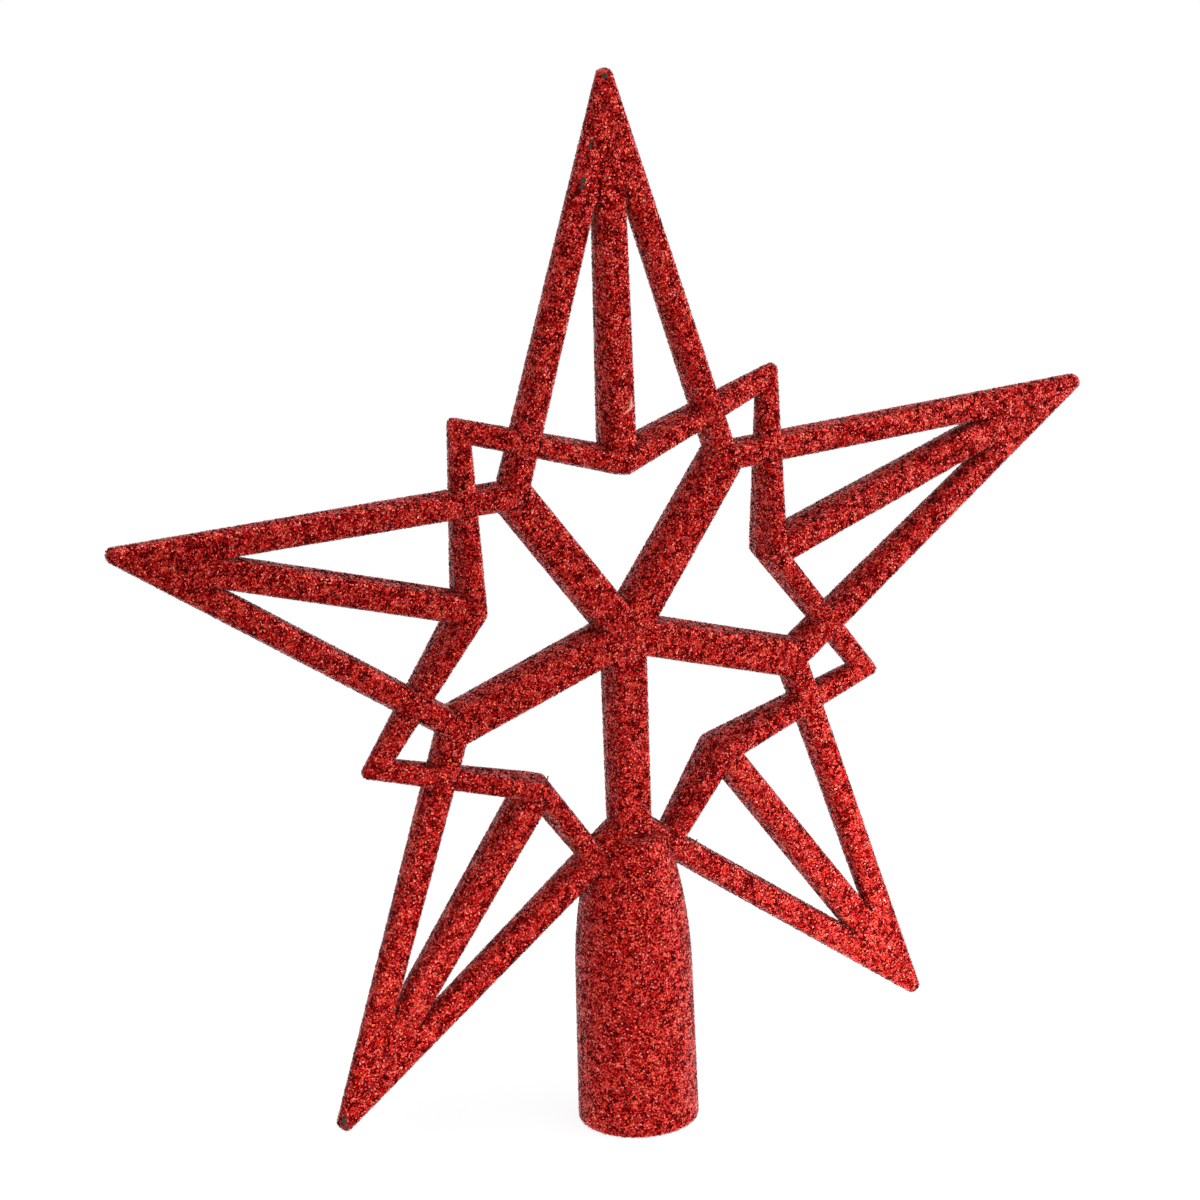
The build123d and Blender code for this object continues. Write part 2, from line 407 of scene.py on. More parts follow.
@dataclass(frozen=True)
class GlueSmear:
    """A strand of glue without flakes that has dried on the coat.

    Attributes:
        node: CAD node that it lies on.
        path: Points that it runs past.
        width: Its width.
        end_share: Width of its ends, as a share of that.
        height: How far it stands up at its thick end, twice as far as at its thin one.
        colour: Its sRGB colour.
        roughness: Softness of its gloss.
        drops: Number of drops that it is made of.
    """

    node: str = "rib_top"
    path: tuple[tuple[float, float, float], ...] = (
        (1.3, -4.0, 140.3),
        (1.1, -4.0, 138.6),
        (-0.2, -4.0, 137.8),
    )
    width: float = 0.75
    end_share: float = 0.55
    height: float = 0.34
    colour: str = "#a26c5d"
    roughness: float = 0.35
    drops: int = 12

    def material(self) -> bpy.types.Material:
        """Make the dried glue.

        Returns:
            Material of the strand.
        """
        made = empty_material("dried_glue")
        tree = made.node_tree
        # Glue dries milky, so the eye meets a pale, softly shining strand
        glue = add_node(
            tree,
            "ShaderNodeBsdfPrincipled",
            inputs={"Base Color": linear(self.colour), "Roughness": self.roughness},
        )
        add_node(tree, "ShaderNodeOutputMaterial", inputs={"Surface": glue.outputs["BSDF"]})
        return made

    def place(self, share: float) -> Vector:
        """Find a point of the path.

        Args:
            share: Share of the path's pieces before it, from the thick end.

        Returns:
            The point, in metres.
        """
        reached = share * (len(self.path) - 1)
        index = min(int(reached), len(self.path) - 2)
        return Vector(self.path[index]).lerp(Vector(self.path[index + 1]), reached - index) * MM

    def lay(self, star: StarFrame) -> None:
        """Lay the strand on the coat, as flat drops that run into one another.

        Args:
            star: The star's nodes and sizes.
        """
        shape = bmesh.new()
        for index in range(self.drops):
            share = index / (self.drops - 1)
            foot = star.nodes[self.node].closest_point_on_mesh(self.place(share))[1]
            # The strand narrows to both ends and gets lower along its way
            swell = (1 - self.end_share) * math.sin(math.pi * share)
            half = self.width * (self.end_share + swell) / 2 * MM
            rise = self.height * (1 - share / 2) * MM
            drop = Matrix.Translation(foot) @ Matrix.Diagonal((half, rise, half, 1))
            bmesh.ops.create_icosphere(shape, subdivisions=2, radius=1, matrix=drop)
        for face in shape.faces:
            face.smooth = True
        mesh = finished_mesh("glue_smear", shape)
        mesh.materials.append(self.material())
        smear = linked_object("glue_smear", mesh)
        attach(smear, BODY)
        LOG.info("glue_smear: %d drops", self.drops)


@dataclass(frozen=True)
class FilmFinish:
    """One shade of dyed, metallised polyester film, cut into glitter flakes.

    The film is a mirror under red lacquer, so a flake shows one even tone that depends on how it
    lies. The shades are lit and shaded copies of this one film: painted shade on the dark ones and
    painted highlights and glints on the light ones.

    Attributes:
        shade: Name of the shade.
        colour: Its sRGB colour.
        share: Share of the coat's flakes that have it.
        metallic: How much of the mirror shows through the lacquer.
        roughness: Softness of the film's reflection.
        lacquer: Share of a flake's face where clear lacquer shines, less for the darker shades.
        lacquer_roughness: Softness of the lacquer's own reflection.
        lacquer_ior: Its refractive index, low because it is fused to the glue around it.
        edge_haze: Strength of the pale sheen that flakes with lacquer have at a glancing view.
        haze_roughness: Softness of that sheen.
    """

    shade: Shade
    colour: str
    share: float
    metallic: float = 0.5
    roughness: float = 0.45
    lacquer: float = 1.0
    lacquer_roughness: float = 0.18
    lacquer_ior: float = 1.25
    edge_haze: float = 0.3
    haze_roughness: float = 0.35

    def material(self) -> bpy.types.Material:
        """Make the film from plain values, which a whole flake shows evenly.

        Returns:
            Material of the flakes of this shade.
        """
        made = empty_material(f"polyester_film_painted_light_{self.shade.value}")
        tree = made.node_tree
        film = add_node(
            tree,
            "ShaderNodeBsdfPrincipled",
            inputs={
                "Base Color": linear(self.colour),
                "Metallic": self.metallic,
                "Roughness": self.roughness,
                "Specular IOR Level": 0.0,
                "Specular Tint": linear(self.colour),
                "Coat Weight": self.lacquer,
                "Coat Roughness": self.lacquer_roughness,
                "Coat IOR": self.lacquer_ior,
                "Sheen Weight": self.edge_haze * self.lacquer,
                "Sheen Roughness": self.haze_roughness,
            },
        )
        add_node(tree, "ShaderNodeOutputMaterial", inputs={"Surface": film.outputs["BSDF"]})
        return made


# Lit and shaded copies of one red film, from painted shade in the dark shades to painted highlights and
# glints in the light ones
GLITTER = (
    FilmFinish(Shade.GARNET, "#380000", 0.175, lacquer=0.05),
    FilmFinish(Shade.MAROON, "#720000", 0.19, lacquer=0.15),
    FilmFinish(Shade.CRIMSON, "#a4100d", 0.24, lacquer=0.6),
    FilmFinish(Shade.RED, "#bb251f", 0.205),
    FilmFinish(Shade.SCARLET, "#c84037", 0.125),
    FilmFinish(Shade.EMBER, "#d6562e", 0.035),
    FilmFinish(Shade.ROSE, "#d46a64", 0.026),
    FilmFinish(Shade.FLASH, "#f2c6ba", 0.004),
)


@dataclass(frozen=True)
class GlitterGround:
    """Moulded polystyrene under tinted glue that is full of fine glitter dust.

    Between the flakes the eye meets small dark and mid red cells that shine a little; their tones
    differ at random, and they are kept dark as painted shade in the gaps between the flakes. Where the
    coat has rubbed off, and inside the bore, the bare plastic shows, dark grey and smooth.

    Attributes:
        cell: Size of the dust's cells.
        dark: Colour of the deepest cells.
        middle: Colour of the usual cells.
        light: Colour of the brightest cells.
        middle_place: Place of the usual cells between the deepest, 0, and the brightest, 1.
        plastic: Colour of the bare plastic.
        roughness: Softness of the gloss.
        gloss: Strength of the gloss.
        tilt: How far the cells' faces lean, as a share of the surface normal.
        overspray: Depth in the bore over which the dust thins out to bare plastic.
    """

    cell: float = 0.27
    dark: str = "#340202"
    middle: str = "#620505"
    light: str = "#9c1510"
    middle_place: float = 0.55
    plastic: str = "#2c2d2a"
    roughness: float = 0.42
    gloss: float = 0.05
    tilt: float = 0.55
    overspray: float = 7.0

    def bare_mask(self, tree: Tree, place: Socket, star: StarFrame) -> Socket:
        """Find where the bare plastic shows.

        Args:
            tree: Material's node tree.
            place: Object coordinates.
            star: Sizes of the star.

        Returns:
            Output that is 1 on bare plastic and 0 on the coat.
        """
        # Overspray speckles about as large as the dust's cells
        speckle = add_node(
            tree,
            "ShaderNodeTexNoise",
            inputs={"Vector": place, "Scale": 1 / (self.cell * MM), "Detail": 2.0},
        )
        height = add_node(tree, "ShaderNodeSeparateXYZ", inputs={0: place})
        thinning = add_node(
            tree,
            "ShaderNodeMath",
            {"operation": "DIVIDE"},
            {0: height.outputs["Z"], 1: self.overspray * MM},
        )
        clear = add_node(
            tree,
            "ShaderNodeMath",
            {"operation": "GREATER_THAN"},
            {0: thinning.outputs[0], 1: speckle.outputs[0]},
        )
        in_bore = add_node(
            tree,
            "ShaderNodeMath",
            {"operation": "MULTIPLY"},
            {0: clear.outputs[0], 1: star.bore_mask(tree, place)},
        )
        return join_masks(tree, [in_bore.outputs[0], star.rubbed_mask(tree, place)])

    def material(self, star: StarFrame) -> bpy.types.Material:
        """Make the ground.

        Args:
            star: Sizes of the star.

        Returns:
            Material for every CAD node.
        """
        made = empty_material("glue_dust_and_gap_shade")
        tree = made.node_tree
        place = add_node(tree, "ShaderNodeTexCoord").outputs["Object"]
        # One cell of the pattern is as large as one grain of dust
        cells = add_node(
            tree, "ShaderNodeTexVoronoi", inputs={"Vector": place, "Scale": 1 / (self.cell * MM)}
        ).outputs["Color"]
        draw = add_node(tree, "ShaderNodeSeparateColor", inputs={0: cells})
        # The cells are kept dark as painted shade in the gaps between flakes, their tones drawn at random
        dust = add_node(tree, "ShaderNodeValToRGB", inputs={0: draw.outputs[0]})
        dust.color_ramp.elements[0].color = linear(self.dark)
        dust.color_ramp.elements[1].color = linear(self.light)
        dust.color_ramp.elements.new(self.middle_place).color = linear(self.middle)
        bare = self.bare_mask(tree, place, star)
        # A mix takes its two colours at sockets 6 and 7, and its two vectors at 4 and 5
        colour = add_node(
            tree,
            "ShaderNodeMix",
            {"data_type": "RGBA"},
            {0: bare, 6: dust.outputs[0], 7: linear(self.plastic)},
        )
        lean = add_node(
            tree,
            "ShaderNodeVectorMath",
            {"operation": "MULTIPLY_ADD"},
            {0: cells, 1: (2 * self.tilt,) * 3, 2: (-self.tilt,) * 3},
        )
        straight = add_node(tree, "ShaderNodeNewGeometry").outputs["Normal"]
        leaning = add_node(
            tree, "ShaderNodeVectorMath", {"operation": "ADD"}, {0: straight, 1: lean.outputs[0]}
        )
        facing = add_node(
            tree,
            "ShaderNodeMix",
            {"data_type": "VECTOR"},
            {0: bare, 4: leaning.outputs[0], 5: straight},
        )
        normal = add_node(tree, "ShaderNodeVectorMath", {"operation": "NORMALIZE"}, {0: facing.outputs[1]})
        glue = add_node(
            tree,
            "ShaderNodeBsdfPrincipled",
            inputs={
                "Base Color": colour.outputs[2],
                "Roughness": self.roughness,
                "Specular IOR Level": self.gloss,
                "Normal": normal.outputs[0],
            },
        )
        add_node(tree, "ShaderNodeOutputMaterial", inputs={"Surface": glue.outputs["BSDF"]})
        return made


@dataclass
class GlitterCoat:
    """Coat of hexagonal film flakes, scattered in glue over the showing faces of a piece.

    Attributes:
        star: The star's nodes and sizes.
        finishes: Shades of the flakes, from dark to light.
        across: Width of a flake from corner to corner.
        size_spread: How much smaller and larger than that flakes are, as a share.
        spacing: Least distance between the middles of two flakes.
        crowding: Number of points tried in a square of that side.
        lift: Height of a flake's middle above the ground.
        lean: Steepest usual lean of a flake, in degrees.
        stray_lean: Further lean of the few that stand on edge, in degrees.
        stray_power: Power of a flake's random draw that gives its part of that lean.
        patch: Size of the patches that pull flakes to darker or lighter shades, clumping painted shade.
        patch_ends: Values of the patches' noise at which they pull in full.
        patch_pull: How strongly a patch pulls its flakes to darker or lighter shades.
        joint_gap: Distance to another piece below which the surface is closed up in a joint.
        bare_rim: Height below which the rim that the socket stands on has no flakes.
        palette_size: Number of flakes in the palette that the coats draw from.
        tuft_seed: Start of the stray tufts' random draws.
        palette: The flakes that the coats draw from, while they are made.
    """

    star: StarFrame
    finishes: tuple[FilmFinish, ...] = GLITTER
    across: float = 0.33
    size_spread: float = 0.25
    spacing: float = 0.23
    crowding: float = 4.0
    lift: float = 0.12
    lean: float = 26.0
    stray_lean: float = 55.0
    stray_power: float = 20.0
    patch: float = 1.6
    patch_ends: tuple[float, float] = (0.3, 0.7)
    patch_pull: float = 1.5
    joint_gap: float = 0.12
    bare_rim: float = 0.15
    palette_size: int = 200
    tuft_seed: int = 5000
    palette: bpy.types.Collection | None = field(default=None, init=False)

    def make_flake(self, finish: FilmFinish) -> bpy.types.Mesh:
        """Cut one flake: a hexagon that lies above the ground's origin and faces +Z.

        Args:
            finish: Shade of its film.

        Returns:
            The flake's mesh.
        """
        shape = bmesh.new()
        radius = self.across / 2 * MM
        bmesh.ops.create_circle(shape, cap_ends=True, segments=FLAKE_SIDES, radius=radius)
        bmesh.ops.translate(shape, verts=shape.verts, vec=(0, 0, self.lift * MM))
        bmesh.ops.recalc_face_normals(shape, faces=shape.faces)
        mesh = finished_mesh(f"flake_{finish.shade.value}", shape)
        mesh.materials.append(finish.material())
        return mesh

    def lay_out_palette(self) -> None:
        """Lay out flakes from dark to light, each shade as often as its share."""
        self.palette = bpy.data.collections.new("flake_palette")
        placed = 0
        reached = 0.0
        for finish in self.finishes:
            mesh = self.make_flake(finish)
            reached += finish.share
            while placed < round(reached * self.palette_size):
                self.palette.objects.link(bpy.data.objects.new(f"flake_{placed:03d}", mesh))
                placed += 1

    def clear_palette(self) -> None:
        """Take the palette away once every coat is made."""
        for flake in list(self.palette.objects):
            bpy.data.objects.remove(flake)
        bpy.data.collections.remove(self.palette)
        self.palette = None

    def stand_tufts(self) -> None:
        """Stand the stray tufts up as one piece that rides with the star."""
        draw = random.Random(self.tuft_seed)
        # The tufts draw from the darker half of the palette, painted shade as on flakes seen from behind
        shaded_half = self.palette.objects[: self.palette_size // 2]
        radius = self.across / 2 * MM
        mesh = bpy.data.meshes.new("glitter_tufts")
        films = []
        shape = bmesh.new()
        for tuft in STRAY_TUFTS:
            node = self.star.nodes[tuft.node]
            _, foot, normal, _ = node.closest_point_on_mesh(Vector(tuft.beside) * MM)
            for step in range(tuft.count):
                film = draw.choice(shaded_half).data.materials[0]
                if film not in films:
                    films.append(film)
                    mesh.materials.append(film)
                # Each flake's middle lies aside by up to a third of a flake
                aside = Vector([draw.uniform(-1, 1) for _ in range(3)]) * self.across / 3
                middle = foot + (normal * tuft.reach * step / tuft.count + aside) * MM
                facing = Vector([draw.uniform(-1, 1) for _ in range(3)]).to_track_quat("Z", "Y")
                place = Matrix.Translation(middle) @ facing.to_matrix().to_4x4()
                cut = bmesh.ops.create_circle(
                    shape, cap_ends=True, segments=FLAKE_SIDES, radius=radius, matrix=place
                )
                for face in cut["verts"][0].link_faces:
                    face.material_index = films.index(film)
        shape.to_mesh(mesh)
        shape.free()
        tufts = linked_object("glitter_tufts", mesh)
        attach(tufts, BODY)
        LOG.info("glitter_tufts: %d flakes", len(mesh.polygons))

    def flakeless_mask(self, tree: Tree, piece: Socket, rest: Socket, normal: Socket) -> Socket:
        """Find the points of a scatter that take no flake: in joints, in the bore, on bare spots.

        Args:
            tree: Scatter's node tree.
            piece: The piece's own mesh.
            rest: The meshes of all other pieces.
            normal: Surface normal at each point.

        Returns:
            Output that is above 0 at such points.
        """
        place = add_node(tree, "GeometryNodeInputPosition").outputs[0]
        height = add_node(tree, "ShaderNodeSeparateXYZ", inputs={0: place})
        on_rim = add_node(
            tree,
            "ShaderNodeMath",
            {"operation": "LESS_THAN"},
            {0: height.outputs["Z"], 1: self.bare_rim * MM},
        )
        near = add_node(tree, "GeometryNodeProximity", inputs={0: rest})
        in_joint = add_node(
            tree,
            "ShaderNodeMath",
            {"operation": "LESS_THAN"},
            {0: near.outputs["Distance"], 1: self.joint_gap * MM},
        )
        # A point of a closed-up slot sees its own piece straight ahead
        ahead = add_node(
            tree,
            "ShaderNodeVectorMath",
            {"operation": "MULTIPLY_ADD"},
            {0: normal, 1: (self.joint_gap * MM,) * 3, 2: place},
        )
        sight = add_node(
            tree,
            "GeometryNodeRaycast",
            inputs={
                "Target Geometry": piece,
                "Source Position": ahead.outputs[0],
                "Ray Direction": normal,
                "Ray Length": 2 * self.star.bore_radius,
            },
        )
        masks = [
            in_joint.outputs[0],
            on_rim.outputs[0],
            sight.outputs["Is Hit"],
            self.star.bore_mask(tree, place),
            self.star.rubbed_mask(tree, place),
        ]
        return join_masks(tree, masks)

    def facing(self, tree: Tree, surface_rotation: Socket, seed: int) -> Socket:
        """Turn each flake at random about its place and let it lean.

        Args:
            tree: Scatter's node tree.
            surface_rotation: Rotation that lays a flake flat on the surface.
            seed: Start of the random draws.

        Returns:
            Rotation of each flake.
        """
        # A random value takes its bounds at sockets 2 and 3 and gives its number at output 1
        chance = add_node(tree, "FunctionNodeRandomValue", inputs={2: 0.0, 3: 1.0, "Seed": seed})
        # The high power leaves one flake in twenty or so standing well up
        standing = add_node(
            tree,
            "ShaderNodeMath",
            {"operation": "POWER"},
            {0: chance.outputs[1], 1: self.stray_power},
        )
        stray = add_node(
            tree,
            "ShaderNodeMath",
            {"operation": "MULTIPLY"},
            {0: standing.outputs[0], 1: math.radians(self.stray_lean)},
        )
        lean = add_node(
            tree,
            "ShaderNodeMath",
            {"operation": "MULTIPLY_ADD"},
            {0: chance.outputs[1], 1: math.radians(self.lean), 2: stray.outputs[0]},
        )
        turn = add_node(tree, "FunctionNodeRandomValue", inputs={2: 0.0, 3: math.tau, "Seed": seed + 1})
        angles = add_node(
            tree, "ShaderNodeCombineXYZ", inputs={"X": lean.outputs[0], "Z": turn.outputs[1]}
        )
        own = add_node(tree, "FunctionNodeEulerToRotation", inputs={0: angles.outputs[0]})
        turned = add_node(
            tree,
            "FunctionNodeRotateRotation",
            {"rotation_space": "LOCAL"},
            {"Rotation": surface_rotation, "Rotate By": own.outputs[0]},
        )
        return turned.outputs[0]

    def palette_place(self, tree: Tree, seed: int) -> Socket:
        """Draw each flake's place in the palette, darker or lighter by patches.

        Args:
            tree: Scatter's node tree.
            seed: Start of the random draws.

        Returns:
            Number of the flake in the palette.
        """
        # Patches of darker or lighter flakes clump the painted shade and light
        draw = add_node(tree, "FunctionNodeRandomValue", inputs={2: 0.0, 3: 1.0, "Seed": seed})
        # One wave of the noise is as long as one patch
        patches = add_node(
            tree, "ShaderNodeTexNoise", inputs={"Scale": 1 / (self.patch * MM), "Detail": 1.0}
        )
        # The middle of the noise leaves a draw as it is, and its ends take a power or a root of it
        pull = add_node(
            tree,
            "ShaderNodeMapRange",
            inputs={
                "Value": patches.outputs[0],
                "From Min": self.patch_ends[0],
                "From Max": self.patch_ends[1],
                "To Min": self.patch_pull,
                "To Max": -self.patch_pull,
            },
        )
        power = add_node(tree, "ShaderNodeMath", {"operation": "POWER"}, {0: 2.0, 1: pull.outputs[0]})
        pulled = add_node(
            tree,
            "ShaderNodeMath",
            {"operation": "POWER"},
            {0: draw.outputs[1], 1: power.outputs[0]},
        )
        place = add_node(
            tree,
            "ShaderNodeMath",
            {"operation": "MULTIPLY"},
            {0: pulled.outputs[0], 1: self.palette_size - 1.0},
        )
        return place.outputs[0]

    def scatter_tree(self, rest: bpy.types.Object, seed: int) -> Tree:
        """Build the nodes that scatter flakes over one piece.

        Args:
            rest: Object with the meshes of all other pieces.
            seed: Start of the random draws.

        Returns:
            Geometry node tree for a modifier on the piece.
        """
        tree = bpy.data.node_groups.new("glitter_scatter", "GeometryNodeTree")
        tree.interface.new_socket("Geometry", in_out="INPUT", socket_type="NodeSocketGeometry")
        tree.interface.new_socket("Geometry", in_out="OUTPUT", socket_type="NodeSocketGeometry")
        piece = add_node(tree, "NodeGroupInput").outputs[0]
        points = add_node(
            tree,
            "GeometryNodeDistributePointsOnFaces",
            {"distribute_method": "POISSON"},
            {
                "Mesh": piece,
                "Distance Min": self.spacing * MM,
                "Density Max": self.crowding / (self.spacing * MM) ** 2,
                "Seed": seed,
            },
        )
        others = add_node(tree, "GeometryNodeObjectInfo", inputs={"Object": rest})
        rest_mesh = others.outputs["Geometry"]
        flakeless = self.flakeless_mask(tree, piece, rest_mesh, points.outputs["Normal"])
        kept = add_node(
            tree,
            "GeometryNodeDeleteGeometry",
            inputs={"Geometry": points.outputs["Points"], "Selection": flakeless},
        )
        size = add_node(
            tree,
            "FunctionNodeRandomValue",
            inputs={2: 1 - self.size_spread, 3: 1 + self.size_spread, "Seed": seed + 1},
        )
        flakes = add_node(
            tree,
            "GeometryNodeCollectionInfo",
            inputs={"Collection": self.palette, "Separate Children": True, "Reset Children": True},
        )
        laid = add_node(
            tree,
            "GeometryNodeInstanceOnPoints",
            inputs={
                "Points": kept.outputs[0],
                "Instance": flakes.outputs[0],
                "Pick Instance": True,
                "Instance Index": self.palette_place(tree, seed + 2),
                "Rotation": self.facing(tree, points.outputs["Rotation"], seed + 3),
                "Scale": size.outputs[1],
            },
        )
        coat = add_node(tree, "GeometryNodeRealizeInstances", inputs={0: laid.outputs[0]})
        add_node(tree, "NodeGroupOutput", inputs={0: coat.outputs[0]})
        return tree

    def cover(self, node: str, seed: int) -> bpy.types.Object:
        """Scatter flakes over one CAD node and keep them as a mesh of their own.

        Args:
            node: Name of the CAD node.
            seed: Start of its random draws.

        Returns:
            The coat, riding with the star.
        """
        joined = bmesh.new()
        for name, other in self.star.nodes.items():
            if name != node:
                joined.from_mesh(other.data)
        rest = linked_object("other_pieces", finished_mesh("other_pieces", joined))
        base = linked_object("coat_base", self.star.nodes[node].data.copy())
        base.modifiers.new("glitter", "NODES").node_group = self.scatter_tree(rest, seed)
        scattered = base.evaluated_get(bpy.context.evaluated_depsgraph_get())
        mesh = bpy.data.meshes.new_from_object(scattered)
        bpy.data.objects.remove(base)
        bpy.data.objects.remove(rest)
        coat = linked_object(f"glitter_{node}", mesh)
        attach(coat, BODY)
        return coat


@dataclass
class CoatedPieces:
    """Pieces of the star that are dressed with the ground and the coat.

    Attributes:
        star: The star's nodes and sizes.
        ground: Material of the nodes themselves.
        coat: Flakes that cover them.
        kinds: Kinds of the pieces.
        first_seed: Start of the first piece's random draws.
    """

    star: StarFrame
    ground: bpy.types.Material
    coat: GlitterCoat
    kinds: tuple[PieceKind, ...] = ()
    first_seed: int = 0

    def names(self) -> list[str]:
        """List the CAD nodes of these kinds."""
        starts = tuple(kind.value for kind in self.kinds)
        return [name for name in sorted(self.star.nodes) if name.startswith(starts)]

    def dress(self) -> None:
        """Give every piece its ground and its flakes."""
        for index, name in enumerate(self.names()):
            for slot in self.star.nodes[name].material_slots:
                slot.material = self.ground
            coat = self.coat.cover(name, self.first_seed + SEEDS_PER_PIECE * index)
            LOG.info("%s: %d flakes", name, len(coat.data.polygons))


@dataclass
class BigStar(CoatedPieces):
    """The big star's ten rails."""

    kinds: tuple[PieceKind, ...] = (PieceKind.OUTER_RAIL,)
    first_seed: int = 1000


@dataclass
class SmallStar(CoatedPieces):
    """The small star's ten rails."""

    kinds: tuple[PieceKind, ...] = (PieceKind.INNER_RAIL,)
    first_seed: int = 2000


@dataclass
class Braces(CoatedPieces):
    """The ribs of the points and the spokes of the hub."""

    kinds: tuple[PieceKind, ...] = (PieceKind.RIB, PieceKind.SPOKE)
    first_seed: int = 3000


@dataclass
class TreeSocket(CoatedPieces):
    """The domed socket, bare inside its bore."""

    kinds: tuple[PieceKind, ...] = (PieceKind.SOCKET,)
    first_seed: int = 4000


@dataclass(frozen=True)
class SoftLamp:
    """A square soft lamp.

    Attributes:
        name: Its name.
        place: Its middle.
        aim: Point that it faces.
        side: Length of its side.
        power: Its power in watts.
        spread: Opening of its beam, in degrees.
    """

    name: str
    place: tuple[float, float, float]
    aim: tuple[float, float, float]
    side: float
    power: float
    spread: float = 180.0

    def hang(self) -> None:
        """Put the lamp in its place."""
        data = bpy.data.lights.new(self.name, "AREA")
        data.size = self.side * MM
        data.energy = self.power
        data.spread = math.radians(self.spread)
        lamp = bpy.data.objects.new(self.name, data)
        towards = Vector(self.aim) - Vector(self.place)
        turn = towards.to_track_quat("-Z", "Y").to_matrix().to_4x4()
        lamp.matrix_world = Matrix.Translation(Vector(self.place) * MM) @ turn
        bpy.context.scene.collection.objects.link(lamp)


LAMPS = (
    SoftLamp("top_lamp", (120, -120, 650), (30, -20, 0), 350, 2.0),
    SoftLamp("side_lamp", (420, -220, 150), (60, 0, 110), 420, 3.0),
    SoftLamp("low_right_card", (90, -200, 18), (72, 0, 16), 100, 0.038, 30.0),
    SoftLamp("low_left_card", (-100, -200, 18), (-72, 0, 16), 100, 0.03, 30.0),
    SoftLamp("fill_lamp", (-700, -500, 350), (0, 0, 90), 600, 4.0),
)


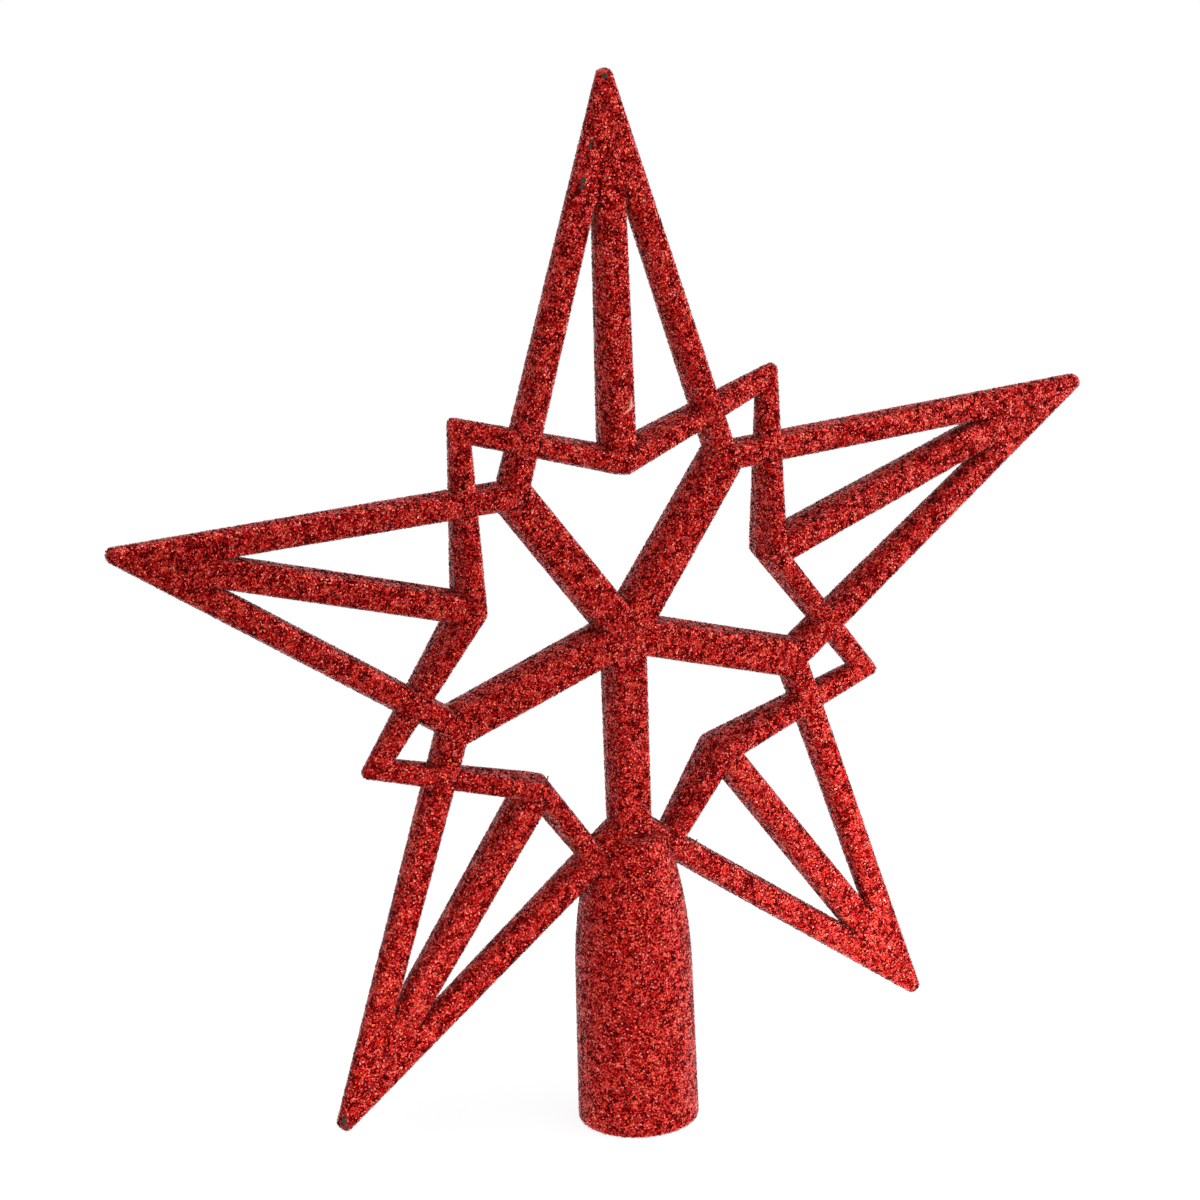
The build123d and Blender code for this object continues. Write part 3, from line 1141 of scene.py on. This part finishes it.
@dataclass
class Studio:
    """Pale floor, white surroundings, soft lamps and the camera.

    Attributes:
        star: The star's nodes and sizes.
        azimuth: Camera's turn about the star, in degrees from its front.
        elevation: Its height above the horizon, in degrees.
        roll: Its turn about its own line of sight, in degrees.
        distance: Its distance from the star's centre.
        lens: Focal length on a sensor of Blender's default width.
        shift: Shift of the frame from the star's centre, in frame widths.
        soft_light: Strength of the surroundings as light on matt surfaces.
        backdrop_turn: Direction of the white backdrop, in degrees from +Y towards +X.
        backdrop_ends: How far a direction points towards the backdrop, from -1 to 1, where the dim
            room ends and where all is white.
        dim_room: Strength of the room on the other side, in reflections.
        floor_radius: Radius of the floor.
        floor_sides: Number of its sides.
        floor_ends: Distances on the floor towards the backdrop where the dim room ends and where
            all is white.
        table_glow: Strength of the light that comes up through the floor, as from a lit table.
        glow_place: Middle of the lit table.
        glow_reach: Distances from there between which its light fades out.
        paper_colour: Colour of the floor's paper.
        paper_near: Share of plain white in the floor next to the star, where its shadow falls.
        paper_reach: Distances from the star between which the floor turns plain white.
    """

    star: StarFrame
    azimuth: float = -27.698
    elevation: float = 18.35
    roll: float = -1.924
    distance: float = 851.2
    lens: float = 140.5
    shift: tuple[float, float] = (-0.01883, 0.02612)
    soft_light: float = 0.8
    backdrop_turn: float = 30.0
    backdrop_ends: tuple[float, float] = (-0.2, 0.4)
    dim_room: float = 0.03
    floor_radius: float = 6000.0
    floor_sides: int = 96
    floor_ends: tuple[float, float] = (-100.0, 40.0)
    table_glow: float = 3.2
    glow_place: tuple[float, float, float] = (75.0, -35.0, 0.0)
    glow_reach: tuple[float, float] = (30.0, 170.0)
    paper_colour: str = "#fafafa"
    paper_near: float = 0.85
    paper_reach: tuple[float, float] = (60.0, 320.0)

    def shown_rays(self, tree: Tree) -> Socket:
        """Find the rays of the camera, of reflections and of clear pieces, which see plain white.

        Args:
            tree: Node tree of the surroundings or the floor.

        Returns:
            Output that is 1 for these rays and 0 for others.
        """
        path = add_node(tree, "ShaderNodeLightPath").outputs
        rays = [path["Is Camera Ray"], path["Is Glossy Ray"], path["Is Transmission Ray"]]
        return join_masks(tree, rays)

    def whiteness(self, tree: Tree, place: Socket, ends: tuple[float, float]) -> Socket:
        """Make the surroundings' strength: white to the eye, but reflections find a dim room in front.

        Args:
            tree: Node tree of the surroundings or the floor.
            place: Direction in the surroundings, or place on the floor.
            ends: How far towards the backdrop the dim room ends, and how far all is white.

        Returns:
            Strength of the white.
        """
        turn = math.radians(self.backdrop_turn)
        way = (math.sin(turn), math.cos(turn), 0)
        depth = add_node(tree, "ShaderNodeVectorMath", {"operation": "DOT_PRODUCT"}, {0: place, 1: way})
        backdrop = add_node(
            tree,
            "ShaderNodeMapRange",
            {"interpolation_type": "SMOOTHSTEP"},
            {
                "Value": depth.outputs["Value"],
                "From Min": ends[0],
                "From Max": ends[1],
                "To Min": self.dim_room,
                "To Max": 1.0,
            },
        )
        seen = add_node(tree, "ShaderNodeLightPath").outputs["Is Camera Ray"]
        return join_masks(tree, [backdrop.outputs[0], seen])

    def surround(self) -> None:
        """Make the surroundings: white to the eye, and a soft even light on matt surfaces."""
        world = bpy.data.worlds.new("white_studio")
        world.use_nodes = True
        tree = world.node_tree
        tree.nodes.clear()
        soft = add_node(
            tree, "ShaderNodeBackground", inputs={"Color": linear(WHITE), "Strength": self.soft_light}
        )
        heading = add_node(tree, "ShaderNodeTexCoord").outputs["Generated"]
        strength = self.whiteness(tree, heading, self.backdrop_ends)
        white = add_node(
            tree, "ShaderNodeBackground", inputs={"Color": linear(WHITE), "Strength": strength}
        )
        mixed = add_node(
            tree,
            "ShaderNodeMixShader",
            inputs={0: self.shown_rays(tree), 1: soft.outputs[0], 2: white.outputs[0]},
        )
        add_node(tree, "ShaderNodeOutputWorld", inputs={"Surface": mixed.outputs[0]})
        bpy.context.scene.world = world

    def glow_strength(self, tree: Tree, place: Socket) -> Socket:
        """Make the strength of the lit table, which only lights matt surfaces.

        Args:
            tree: Node tree of the floor.
            place: Place on the floor.

        Returns:
            Strength of its light.
        """
        gap = add_node(
            tree,
            "ShaderNodeVectorMath",
            {"operation": "DISTANCE"},
            {0: place, 1: Vector(self.glow_place) * MM},
        )
        strength = add_node(
            tree,
            "ShaderNodeMapRange",
            {"interpolation_type": "SMOOTHSTEP"},
            {
                "Value": gap.outputs["Value"],
                "From Min": self.glow_reach[0] * MM,
                "From Max": self.glow_reach[1] * MM,
                "To Min": self.table_glow,
                "To Max": 0.0,
            },
        )
        unseen = add_node(
            tree, "ShaderNodeMath", {"operation": "SUBTRACT"}, {0: 1.0, 1: self.shown_rays(tree)}
        )
        hidden = add_node(
            tree,
            "ShaderNodeMath",
            {"operation": "MULTIPLY"},
            {0: strength.outputs[0], 1: unseen.outputs[0]},
        )
        return hidden.outputs[0]

    def paper(self) -> bpy.types.Material:
        """Make the floor's matt white paper, which keeps a soft shadow and fades to plain white.

        Returns:
            Material of the floor.
        """
        made = empty_material("matt_white_paper")
        tree = made.node_tree
        place = add_node(tree, "ShaderNodeTexCoord").outputs["Object"]
        gap = add_node(tree, "ShaderNodeVectorMath", {"operation": "LENGTH"}, {0: place})
        fade = add_node(
            tree,
            "ShaderNodeMapRange",
            {"interpolation_type": "SMOOTHSTEP"},
            {
                "Value": gap.outputs["Value"],
                "From Min": self.paper_reach[0] * MM,
                "From Max": self.paper_reach[1] * MM,
                "To Min": self.paper_near,
                "To Max": 1.0,
            },
        )
        share = add_node(
            tree,
            "ShaderNodeMath",
            {"operation": "MULTIPLY"},
            {0: fade.outputs[0], 1: self.shown_rays(tree)},
        )
        matt = add_node(tree, "ShaderNodeBsdfDiffuse", inputs={"Color": linear(self.paper_colour)})
        shown = self.whiteness(tree, place, (self.floor_ends[0] * MM, self.floor_ends[1] * MM))
        white = add_node(
            tree, "ShaderNodeEmission", inputs={"Color": linear(WHITE), "Strength": shown}
        )
        rising = self.glow_strength(tree, place)
        glow = add_node(
            tree, "ShaderNodeEmission", inputs={"Color": linear(WHITE), "Strength": rising}
        )
        lit = add_node(tree, "ShaderNodeAddShader", inputs={0: matt.outputs[0], 1: glow.outputs[0]})
        mixed = add_node(
            tree,
            "ShaderNodeMixShader",
            inputs={0: share.outputs[0], 1: lit.outputs[0], 2: white.outputs[0]},
        )
        add_node(tree, "ShaderNodeOutputMaterial", inputs={"Surface": mixed.outputs[0]})
        return made

    def lay_floor(self) -> None:
        """Lay the round paper floor that the socket's rim stands on."""
        shape = bmesh.new()
        bmesh.ops.create_circle(
            shape, cap_ends=True, segments=self.floor_sides, radius=self.floor_radius * MM
        )
        mesh = finished_mesh("floor", shape)
        mesh.materials.append(self.paper())
        linked_object("floor", mesh)

    def place_camera(self) -> None:
        """Set up the camera at the photograph's view."""
        turn = math.radians(self.azimuth)
        rise = math.radians(self.elevation)
        flat = math.cos(rise)
        back = Vector((math.sin(turn) * flat, -math.cos(turn) * flat, math.sin(rise)))
        right = Vector((math.cos(turn), math.sin(turn), 0))
        axes = Matrix((right, back.cross(right), back)).transposed().to_4x4()
        tilt = Matrix.Rotation(math.radians(self.roll), 4, "Z")
        data = bpy.data.cameras.new("camera")
        data.lens = self.lens
        data.shift_x, data.shift_y = self.shift
        camera = bpy.data.objects.new("camera", data)
        centre = Vector((0, 0, self.star.centre_height))
        camera.matrix_world = Matrix.Translation(centre + back * self.distance * MM) @ axes @ tilt
        bpy.context.scene.collection.objects.link(camera)
        bpy.context.scene.camera = camera

    def build(self) -> None:
        """Set up floor, surroundings, lamps and camera."""
        self.lay_floor()
        self.surround()
        for lamp in LAMPS:
            lamp.hang()
        self.place_camera()
        bpy.context.scene.view_settings.view_transform = "Standard"


def main() -> None:
    """Dress every piece of the star and set up the studio."""
    logging.basicConfig(level=logging.INFO, format="%(name)s: %(message)s")
    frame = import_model()
    star = StarFrame.read(frame)
    ground = GlitterGround().material(star)
    coat = GlitterCoat(star)
    coat.lay_out_palette()
    for group in (BigStar, SmallStar, Braces, TreeSocket):
        group(star, ground, coat).dress()
    coat.stand_tufts()
    GlueSmear().lay(star)
    coat.clear_palette()
    Studio(star).build()


if __name__ == "__main__":
    main()
